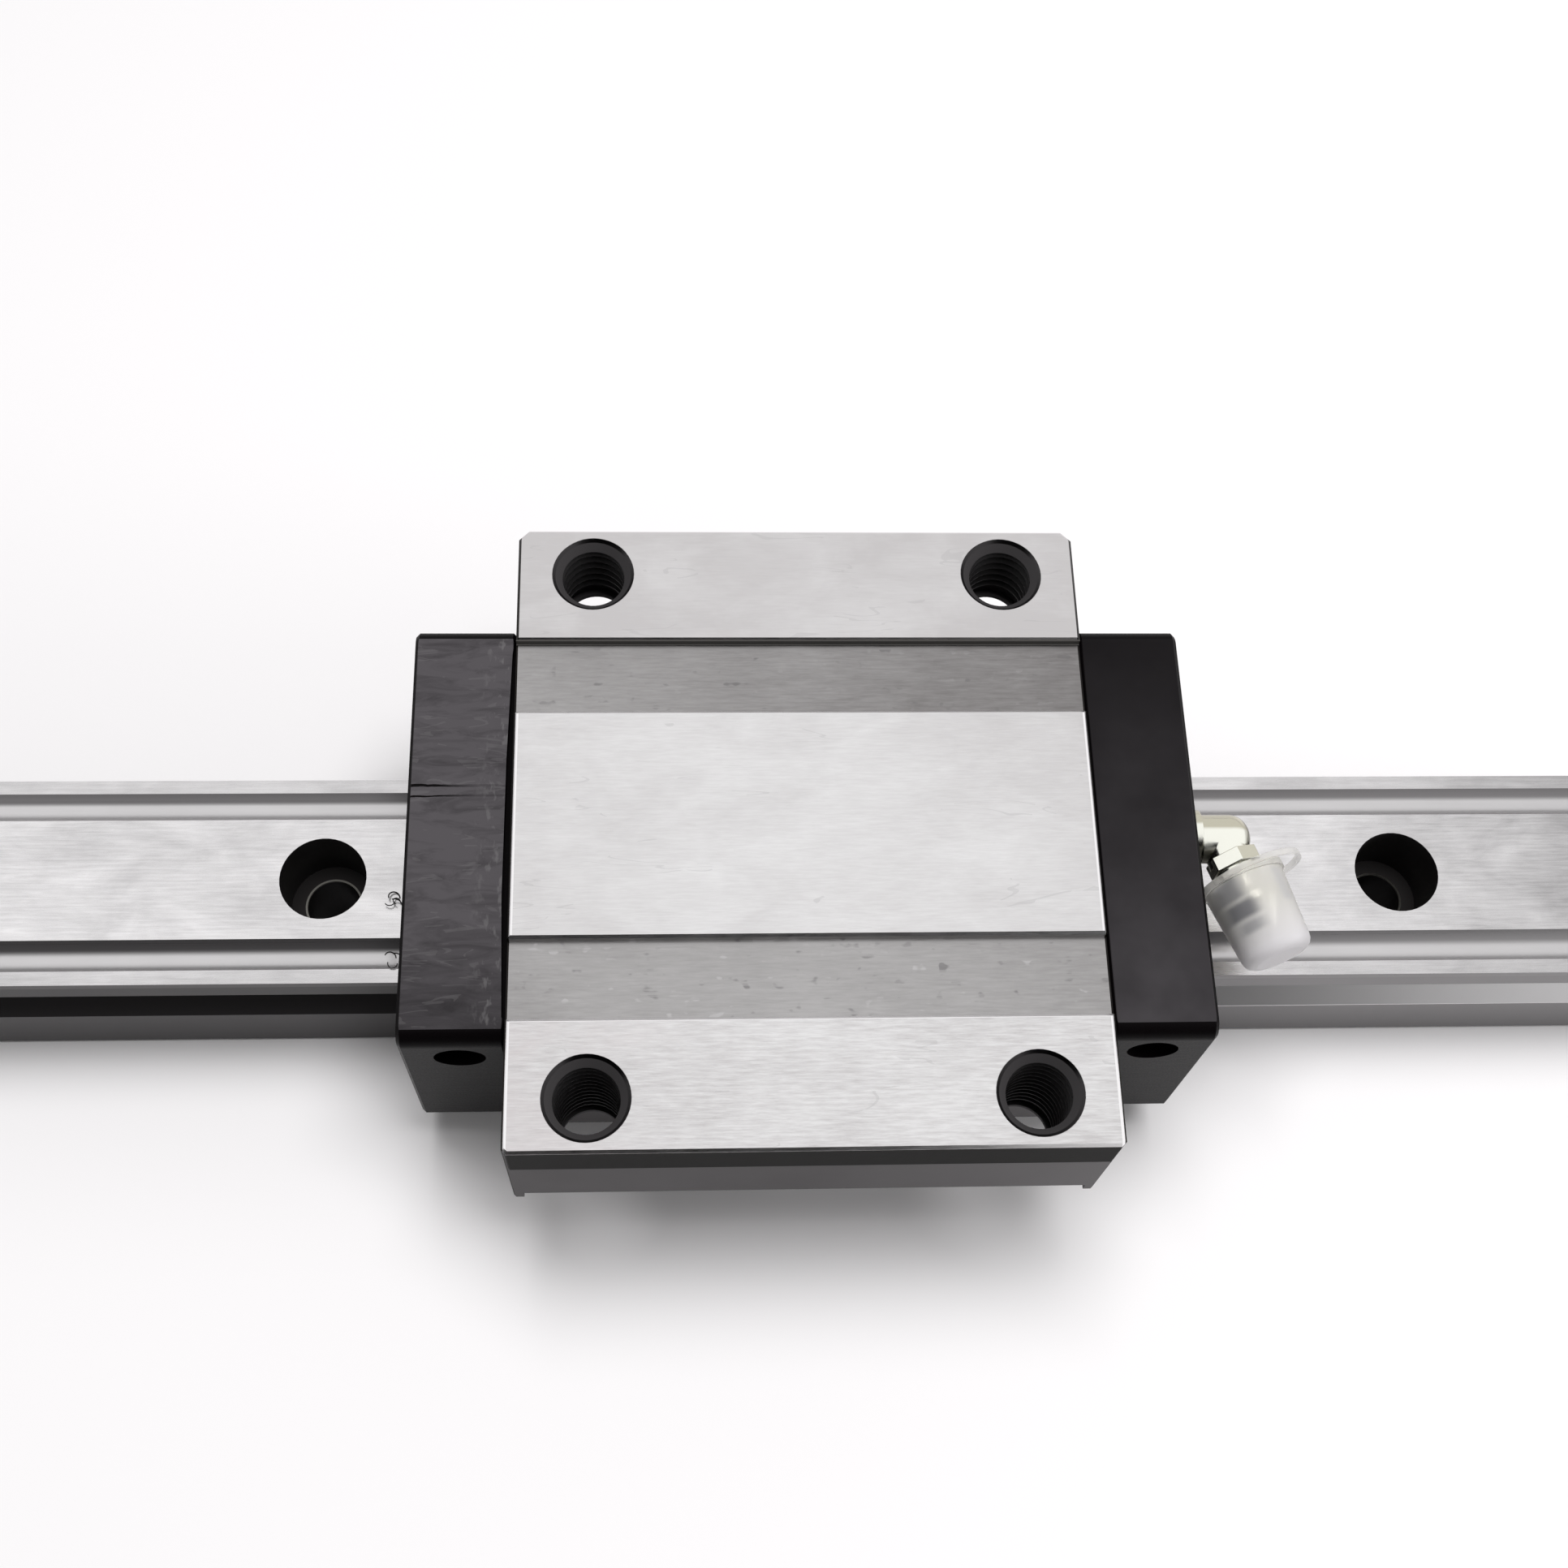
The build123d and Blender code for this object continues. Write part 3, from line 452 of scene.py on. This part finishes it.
def make_nipple_metal():
    """Nickel plate with painted light and shade by which way it faces: a painted white highlight where it faces up, a
    beige painted reflection towards the back, darker where it faces straight back or to the right, and painted shade
    where it faces the near side.
    """
    material, tree, place, x, y, z = start_material("nipple_metal")
    skin = use_group(tree, grain, {"Place": place, "Size": 0.3})
    facing = tree.nodes.new("ShaderNodeNewGeometry").outputs["Normal"]
    ahead, back = add_node(tree, "ShaderNodeSeparateXYZ", {0: facing}).outputs[:2]
    # Painted highlight, reflection and shade, chosen by the surface's facing
    colour = mix_colour(tree, remap(tree, back, 0.04, 0.2, 0, 1, smooth=True), shade(253, 10, 0), shade(198, 20, 2))
    colour = mix_colour(tree, remap(tree, back, 0.55, 0.95, 0, 0.8, smooth=True), colour, shade(120, 16, 1))
    colour = mix_colour(tree, remap(tree, ahead, 0.5, 0.75, 0, 0.75, smooth=True), colour, shade(122, 20, 1))
    colour = mix_colour(tree, remap(tree, back, -0.5, -0.72, 0, 0.92, smooth=True), colour, shade(76, 12, 0))
    colour = mix_colour(tree, math(tree, "MULTIPLY", skin["Drift"], 0.15), colour, shade(150, 10))
    rough = remap(tree, skin["Grain"], 0.3, 0.7, 0.16, 0.24)
    finish_material(tree, skin["Grain"], 0.000004, 0.5, Base_Color=colour, Roughness=rough, Metallic=1.0)
    return material


def make_cover_plastic():
    """Frosted see-through plastic, more milky towards the closed end; the thin loop is clearer."""
    material, tree, place, x, y, z = start_material("cover_plastic")
    skin = use_group(tree, grain, {"Place": place, "Size": 0.5})
    # Distance along the branch, level across it and up from it
    out = math(tree, "ADD", math(tree, "MULTIPLY", x, BRANCH[0]), math(tree, "MULTIPLY", y, BRANCH[1]))
    out = math(tree, "SUBTRACT", out, ELBOW.dot(BRANCH))
    level = math(tree, "ADD", math(tree, "MULTIPLY", x, -BRANCH[1]), math(tree, "MULTIPLY", y, BRANCH[0]))
    level = math(tree, "SUBTRACT", level, ELBOW[0] * -BRANCH[1] + ELBOW[1] * BRANCH[0])
    rise = math(tree, "SUBTRACT", z, ELBOW[2])
    away = math(tree, "SQRT", math(tree, "ADD", both(tree, level, level), both(tree, rise, rise)))
    loop_area = both(tree, math(tree, "GREATER_THAN", away, 4.72 * MM), math(tree, "LESS_THAN", out, 6 * MM))
    colour = mix_colour(tree, remap(tree, out, 9 * MM, 14 * MM, 0, 1), shade(228, 6), shade(236, -1))

    # Painted shade and painted light for what shows dimly through the wall: the steps of the nipple's head, and the
    # light between them
    bent = math(tree, "ADD", out, remap(tree, skin["Drift"], 0.2, 0.8, -0.5 * MM, 0.5 * MM))

    def patch(start, stop, left, right):
        along = both(
            tree,
            remap(tree, bent, (start - 0.35) * MM, (start + 0.35) * MM, 0, 1, smooth=True),
            remap(tree, bent, (stop + 0.35) * MM, (stop - 0.35) * MM, 0, 1, smooth=True),
        )
        across = both(
            tree,
            remap(tree, level, (left - 0.5) * MM, (left + 0.5) * MM, 0, 1, smooth=True),
            remap(tree, level, (right + 0.9) * MM, (right - 0.9) * MM, 0, 1, smooth=True),
        )
        return both(tree, along, across)

    for start, stop, left, right, amount, tone in (
        (6.0, 8.3, -4.2, -1.9, 0.75, 128),
        (8.6, 10.4, -3.9, -1.2, 0.85, 122),
        (10.8, 12.0, -3.4, -1.2, 0.55, 140),
        (6.2, 10.0, 1.9, 3.4, 0.45, 196),
    ):
        strength = math(tree, "MULTIPLY", patch(start, stop, left, right), amount)
        colour = mix_colour(tree, strength, colour, shade(tone, -6, 0))
    rough = remap(tree, out, 6 * MM, 14 * MM, 0.36, 0.5)
    alpha = mix_value(tree, loop_area, remap(tree, out, 6 * MM, 14.5 * MM, 0.9, 0.97), 0.34)
    finish_material(
        tree,
        skin["Grain"],
        0.00001,
        0.3,
        Base_Color=colour,
        Roughness=rough,
        Transmission_Weight=0.45,
        IOR=1.2,
        Alpha=alpha,
    )
    return material


block_steel = make_block_steel()
rail_steel = make_rail_steel()
cap_plastic = make_cap_plastic()
# The thread turns are painted dark for the shade inside the bores
thread_steel_in_shade = make_grained("thread_steel_in_shade", 28, 34, 0.2, 0.6, metallic=0.3)
seal_rubber = make_grained("seal_rubber", 30, 38, 0.2, 0.6)
guide_plastic = make_grained("guide_plastic", 60, 70, 0.2, 0.5)
screw_steel = make_grained("screw_steel", 150, 170, 0.15, 0.35, metallic=1.0)
plug_steel = make_grained("plug_steel", 26, 32, 0.15, 0.4, metallic=0.6)
nipple_metal = make_nipple_metal()
ball_steel = make_grained("ball_steel", 190, 200, 0.3, 0.12, metallic=1.0, relief=0.000002)
cover_plastic = make_cover_plastic()


# ---- pieces ----

def keep_piece(name, shape, material, body, replaced=()):
    """Turn a bmesh into a piece that rides on a body and may stand for CAD nodes."""
    smooth_curves(shape)
    mesh = bpy.data.meshes.new(name)
    shape.to_mesh(mesh)
    shape.free()
    piece = bpy.data.objects.new(name, mesh)
    bpy.context.scene.collection.objects.link(piece)
    mesh.materials.append(material)
    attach(piece, body)
    if replaced:
        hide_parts(*replaced)
    return piece


def smooth_curves(shape, angle=35):
    """Smooth shading on round surfaces; flats stay flat, however they are divided."""
    for face in shape.faces:
        longest = max(edge.calc_length() for edge in face.edges)
        bent = any(radians(0.5) < edge.calc_face_angle(0) < radians(angle) for edge in face.edges)
        face.smooth = bent and face.calc_area() < 1.5 * MM * longest
    for edge in shape.edges:
        edge.smooth = edge.calc_face_angle(pi) < radians(angle)


def soften_edges(piece, width, segments=2, angle=32):
    """Small rounding on every sharp edge, with the flats kept flat."""
    rounding = piece.modifiers.new("rounding", "BEVEL")
    rounding.width = width
    rounding.segments = segments
    rounding.limit_method = "ANGLE"
    rounding.angle_limit = radians(angle)
    rounding.use_clamp_overlap = True
    return piece


def cad_shape(node):
    """The node's own shape as one clean bmesh with flat faces joined."""
    shape = bmesh.new()
    shape.from_mesh(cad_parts[node].data)
    bmesh.ops.remove_doubles(shape, verts=shape.verts, dist=1e-6)
    return join_flats(shape)


def join_flats(shape):
    bmesh.ops.dissolve_limit(
        shape, angle_limit=radians(0.5), use_dissolve_boundaries=False, verts=shape.verts, edges=shape.edges
    )
    return shape


def carve(shape, *tools, operation="DIFFERENCE"):
    """The shape less, or joined with, each tool in turn."""
    def temporary(bm):
        mesh = bpy.data.meshes.new("temporary")
        bm.to_mesh(mesh)
        bm.free()
        made = bpy.data.objects.new("temporary", mesh)
        bpy.context.scene.collection.objects.link(made)
        return made

    work = temporary(shape)
    for tool in tools:
        cutter = temporary(tool)
        step = work.modifiers.new("carve", "BOOLEAN")
        step.object = cutter
        step.operation = operation
        step.solver = "EXACT"
        done = bpy.data.meshes.new_from_object(work.evaluated_get(bpy.context.evaluated_depsgraph_get()))
        work.modifiers.clear()
        work.data = done
        bpy.data.objects.remove(cutter)
    result = bmesh.new()
    result.from_mesh(work.data)
    bpy.data.objects.remove(work)
    return join_flats(result)


def lathe(outline, steps=64, closed=False):
    """Solid turned about Z from (radius, height) points; closed joins the last point to the first."""
    shape = bmesh.new()
    points = [shape.verts.new((radius, 0, height)) for radius, height in outline]
    pairs = list(zip(points, points[1:]))
    if closed:
        pairs.append((points[-1], points[0]))
    lines = [shape.edges.new(pair) for pair in pairs]
    bmesh.ops.spin(
        shape,
        geom=points + lines,
        cent=(0, 0, 0),
        axis=(0, 0, 1),
        dvec=(0, 0, 0),
        angle=2 * pi,
        steps=steps,
        use_merge=True,
        use_duplicate=False,
    )
    bmesh.ops.remove_doubles(shape, verts=shape.verts, dist=1e-7)
    bmesh.ops.recalc_face_normals(shape, faces=shape.faces)
    return shape


def cylinder(radius, low, high, steps=48):
    return lathe([(0, low), (radius, low), (radius, high), (0, high)], steps)


def prism(corners, low, high):
    """Upright solid over an outline of (x, y) corners."""
    shape = bmesh.new()
    floor = shape.faces.new([shape.verts.new((x, y, low)) for x, y in corners])
    raised = bmesh.ops.extrude_face_region(shape, geom=[floor])["geom"]
    top = [item for item in raised if isinstance(item, bmesh.types.BMVert)]
    bmesh.ops.translate(shape, vec=(0, 0, high - low), verts=top)
    bmesh.ops.recalc_face_normals(shape, faces=shape.faces)
    return shape


def curl(thickness, reach, turn):
    """Thin thread bent into part of a flat ring that climbs a little."""
    shape = bmesh.new()
    upright = Matrix.Translation((reach, 0, 0)) @ Matrix.Rotation(pi / 2, 4, "X")
    bmesh.ops.create_circle(shape, cap_ends=False, segments=6, radius=thickness, matrix=upright)
    bmesh.ops.spin(
        shape,
        geom=shape.verts[:] + shape.edges[:],
        cent=(0, 0, 0),
        axis=(0, 0, 1),
        dvec=(0, 0, 0.02 * MM),
        angle=turn,
        steps=14,
        use_merge=False,
        use_duplicate=False,
    )
    bmesh.ops.holes_fill(shape, edges=shape.edges, sides=6)
    bmesh.ops.recalc_face_normals(shape, faces=shape.faces)
    return shape


def stand(shape, place, direction=(0, 0, 1)):
    """Turn the shape's Z to a direction and move its origin to a place."""
    turn = Vector((0, 0, 1)).rotation_difference(Vector(direction)).to_matrix().to_4x4()
    bmesh.ops.transform(shape, matrix=Matrix.Translation(place) @ turn, verts=shape.verts)
    return shape


def merge(*shapes):
    """Several separate solids in one bmesh."""
    result = bmesh.new()
    for shape in shapes:
        mesh = bpy.data.meshes.new("merged")
        shape.to_mesh(mesh)
        shape.free()
        result.from_mesh(mesh)
        bpy.data.meshes.remove(mesh)
    return result


def thread_coil(major, minor, pitch, low, high, steps=28):
    """Screw thread ridge that winds down inside a bore, from high to low."""
    shape = bmesh.new()
    base = major + 0.03 * MM
    section = ((base, 0.44), (minor, 0.07), (minor, -0.07), (base, -0.44))
    points = [shape.verts.new((radius, 0, high + offset * pitch)) for radius, offset in section]
    lines = [shape.edges.new((a, b)) for a, b in zip(points, points[1:] + points[:1])]
    turns = int((high - low) / pitch)
    bmesh.ops.spin(
        shape,
        geom=points + lines,
        cent=(0, 0, 0),
        axis=(0, 0, 1),
        dvec=(0, 0, -pitch / steps),
        angle=2 * pi * turns,
        steps=steps * turns,
        use_merge=False,
        use_duplicate=False,
    )
    bmesh.ops.holes_fill(shape, edges=shape.edges, sides=4)
    bmesh.ops.recalc_face_normals(shape, faces=shape.faces)
    return shape


# Rail
rail = keep_piece("guide_rail", cad_shape("rail"), rail_steel, "rail", ["rail"])
soften_edges(rail, 0.13 * MM)

# Block, with its bores opened to the thread's outer diameter, and the turns of the thread
bores = []
coils = []
for end in (-1, 1):
    for side, bottom in ((-1, 19.2 * MM), (1, 25.4 * MM)):
        place = (CARRIAGE_MIDDLE + end * BOLT_X, side * BOLT_Y, 0)
        bores.append(stand(cylinder(THREAD_RADIUS, bottom, 34.8 * MM), place))
        coil = thread_coil(THREAD_RADIUS, CORE_RADIUS, THREAD_PITCH, bottom + 0.3 * MM, 34.3 * MM)
        coils.append(stand(coil, place))
block_shape = carve(cad_shape("carriage_block"), *bores)
block = keep_piece("carriage_body", block_shape, block_steel, "carriage", ["carriage_block"])
soften_edges(block, 0.1 * MM)
keep_piece("bolt_threads", merge(*coils), thread_steel_in_shade, "carriage")

# End caps, seals and screws; the left cap's top stands off the block in a shallow bow
bow = prism(
    [
        (x * MM, y * MM)
        for x, y in (
            (-38.2, 22.9),
            (-38.6, 22.3),
            (-38.8, 20.0),
            (-39.1, 7.6),
            (-39.15, -8.0),
            (-38.8, -20.8),
            (-38.2, -22.0),
        )
    ],
    33.7 * MM,
    35.3 * MM,
)
for end in ("left", "right"):
    shape = cad_shape(f"end_cap_{end}")
    if end == "left":
        shape = carve(shape, bow)
    cap = keep_piece(f"cap_{end}", shape, cap_plastic, "carriage", [f"end_cap_{end}"])
    soften_edges(cap, 0.12 * MM)
    for name, node, material, slot in (
        ("wiper", "end_seal", seal_rubber, "seal_rubber"),
        ("socket_screws", "cap_screws", screw_steel, "screw_steel"),
    ):
        node = f"{node}_{end}"
        piece = keep_piece(f"{name}_{end}", cad_shape(node), material, "carriage", [node])
        soften_edges(piece, 0.15 * MM)

# Torn threads of rubber at the left seal's lip
threads = [
    stand(curl(thickness * MM, reach * MM, radians(turn)), Vector((x, y, z)) * MM, direction)
    for x, y, z, thickness, reach, turn, direction in (
        (-52.1, -2.4, 20.62, 0.08, 0.62, 200, (0.2, 0.1, 1)),
        (-52.5, -3.0, 20.62, 0.06, 0.5, -150, (-0.2, 0.3, 1)),
        (-52.0, -3.5, 20.64, 0.07, 0.85, 110, (0.1, -0.2, 1)),
        (-51.8, -2.9, 20.62, 0.06, 0.42, 260, (0.3, 0.2, 1)),
        (-52.2, -9.2, 20.2, 0.07, 0.6, 170, (0.2, 0.2, 1)),
        (-51.9, -9.9, 20.2, 0.06, 0.5, -200, (-0.2, -0.2, 1)),
        (-51.6, -9.5, 20.2, 0.07, 0.75, 120, (0.1, 0.2, 1)),
    )
]
keep_piece("rubber_threads", merge(*threads), seal_rubber, "carriage")

# CAD nodes that are shown as they are
for node, material in (
    ("port_plugs", plug_steel),
    ("end_port_plug", plug_steel),
    ("turn_guides_left", guide_plastic),
    ("turn_guides_right", guide_plastic),
    ("side_retainer_near", guide_plastic),
    ("side_retainer_far", guide_plastic),
    ("lower_retainer_near", guide_plastic),
    ("lower_retainer_far", guide_plastic),
    ("upper_retainer", guide_plastic),
    ("bottom_seal_near", seal_rubber),
    ("bottom_seal_far", seal_rubber),
    ("nipple_check_ball", ball_steel),
    ("nipple_spring", screw_steel),
    ("balls_upper_near", ball_steel),
    ("balls_upper_far", ball_steel),
    ("balls_lower_near", ball_steel),
    ("balls_lower_far", ball_steel),
):
    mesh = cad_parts[node].data
    mesh.materials.clear()
    mesh.materials.append(material)

# Grease nipple
for name, node, rounding in (
    ("sealing_ring", "nipple_washer", 0.1),
    ("angled_body", "nipple_elbow", 0.1),
    ("nipple_spigot", "nipple_head", 0.12),
):
    shape = cad_shape(node)
    if node == "nipple_elbow":
        # Fuller towards the near side, as in the photograph
        elbow_radius = 2.3 * MM
        for point in shape.verts:
            point.co.y = elbow_radius + (point.co.y - elbow_radius) * 1.17
    metal_piece = keep_piece(name, shape, nipple_metal, "carriage", [node])
    soften_edges(metal_piece, rounding * MM, angle=28)

# Protective cover with its tear-off loop
cup = lathe(
    [
        (radius * MM, place * MM)
        for radius, place in (
            (3.55, 5.1),
            (4.65, 5.1),
            (4.65, 5.9),
            (4.4, 5.9),
            (3.87, 13.6),
            (3.78, 14.05),
            (3.55, 14.42),
            (3.15, 14.68),
            (2.6, 14.8),
            (0, 14.8),
            (0, 14.0),
            (2.3, 14.0),
            (3.1, 13.2),
            (3.45, 9.0),
        )
    ],
    72,
    closed=True,
)
# The loop is a little thinner than the rim, so that no two of their faces share a plane
loop_outline = [(5.0, 5.17), (5.4, 5.17), (5.4, 5.83), (5.0, 5.83)]
loop = lathe([(radius * MM, place * MM) for radius, place in loop_outline], 71, closed=True)
level = BRANCH.cross(Vector((0, 0, -1)))
rise = Vector((0, 0, 1))
stand(cup, ELBOW, BRANCH)
loop_shift = 1.35 * MM
loop_angle = radians(35)
stand(loop, ELBOW + level * loop_shift * cos(loop_angle) + rise * loop_shift * sin(loop_angle), BRANCH)
cover = keep_piece(
    "nipple_cap", carve(cup, loop, operation="UNION"), cover_plastic, "cover", ["nipple_cover"]
)
soften_edges(cover, 0.08 * MM, angle=40)


# ---- studio ----

def make_floor():
    material, tree, place, x, y, z = start_material("floor_paper")
    # Painted shadow on the floor under the rail
    shadow_under_rail = both(
        tree,
        math(tree, "LESS_THAN", math(tree, "ABSOLUTE", x), 118 * MM),
        math(tree, "LESS_THAN", math(tree, "ABSOLUTE", y), 11 * MM),
    )
    paper = mix_colour(tree, shadow_under_rail, shade(246, 0), shade(120))
    finish_material(tree, Base_Color=paper, Roughness=0.9, Specular_IOR_Level=0.1)
    shape = bmesh.new()
    bmesh.ops.create_grid(shape, x_segments=1, y_segments=1, size=2.0)
    mesh = bpy.data.meshes.new("floor")
    shape.to_mesh(mesh)
    shape.free()
    floor = bpy.data.objects.new("floor", mesh)
    bpy.context.scene.collection.objects.link(floor)
    mesh.materials.append(material)


def make_card(name, place, aim, size):
    """Black card that only reflections see, as studios use to darken one side of bright metal."""
    material, tree, *_ = start_material(name)
    finish_material(tree, Base_Color=(0.0, 0.0, 0.0), Roughness=1.0, Specular_IOR_Level=0.0)
    shape = bmesh.new()
    bmesh.ops.create_grid(shape, x_segments=1, y_segments=1, size=0.5)
    bmesh.ops.scale(shape, vec=(*size, 1), verts=shape.verts)
    facing = (Vector(aim) - Vector(place)).to_track_quat("Z", "Y").to_matrix().to_4x4()
    bmesh.ops.transform(shape, matrix=Matrix.Translation(place) @ facing, verts=shape.verts)
    mesh = bpy.data.meshes.new(name)
    shape.to_mesh(mesh)
    shape.free()
    card = bpy.data.objects.new(name, mesh)
    bpy.context.scene.collection.objects.link(card)
    mesh.materials.append(material)
    card.visible_camera = False
    card.visible_diffuse = False
    card.visible_shadow = False
    card.visible_transmission = False


def make_lamp(name, place, aim, size, power):
    """Soft rectangular lamp that bright metal doesn't mirror."""
    data = bpy.data.lights.new(name, "AREA")
    data.shape = "RECTANGLE"
    data.size, data.size_y = size
    data.energy = power
    lamp = bpy.data.objects.new(name, data)
    bpy.context.scene.collection.objects.link(lamp)
    lamp.location = place
    lamp.rotation_euler = (Vector(aim) - Vector(place)).to_track_quat("-Z", "Y").to_euler()
    lamp.visible_glossy = False


def make_world(fill):
    world = bpy.data.worlds.new("studio")
    bpy.context.scene.world = world
    world.use_nodes = True
    tree = world.node_tree
    tree.nodes.clear()
    seen = add_node(tree, "ShaderNodeLightPath").outputs
    white = math(
        tree,
        "MAXIMUM",
        math(tree, "MAXIMUM", seen["Is Camera Ray"], seen["Is Glossy Ray"]),
        seen["Is Transmission Ray"],
    )
    light = add_node(
        tree, "ShaderNodeBackground", {"Color": (1, 1, 1, 1), "Strength": mix_value(tree, white, fill, 1.0)}
    )
    out = tree.nodes.new("ShaderNodeOutputWorld")
    tree.links.new(light.outputs[0], out.inputs[0])


def make_camera():
    """The photograph's view: 47.9 mm on a 36 mm sensor, rolled a little."""
    azimuth, elevation, roll = radians(-7.415), radians(65.664), radians(6.54)
    distance = 219.39 * MM
    target = Vector((-9.893, 4.155, 36)) * MM
    back = Vector((sin(azimuth) * cos(elevation), -cos(azimuth) * cos(elevation), sin(elevation)))
    right = Vector((cos(azimuth), sin(azimuth), 0))
    up = back.cross(right)
    right, up = right * cos(roll) + up * sin(roll), up * cos(roll) - right * sin(roll)
    data = bpy.data.cameras.new("camera")
    data.sensor_width = 36
    data.lens = 47.90
    data.clip_start = 0.01
    camera = bpy.data.objects.new("camera", data)
    bpy.context.scene.collection.objects.link(camera)
    turn = Matrix((right, up, back)).transposed().to_4x4()
    camera.matrix_world = Matrix.Translation(target + back * distance) @ turn
    bpy.context.scene.camera = camera


make_floor()
make_world(0.24)
make_lamp("overhead", (0.05, 0.075, 0.8), (0, 0, 0), (0.5, 0.3), 5.7)
make_lamp("from_right", (0.7, -0.12, 0.22), (0.05, 0, 0.01), (0.25, 0.3), 1.5)
make_card("front_card", (-0.65, -0.35, 0.48), (-0.65, 0, 0.48), (1.7, 0.96))
make_camera()
bpy.context.scene.view_settings.view_transform = "Standard"
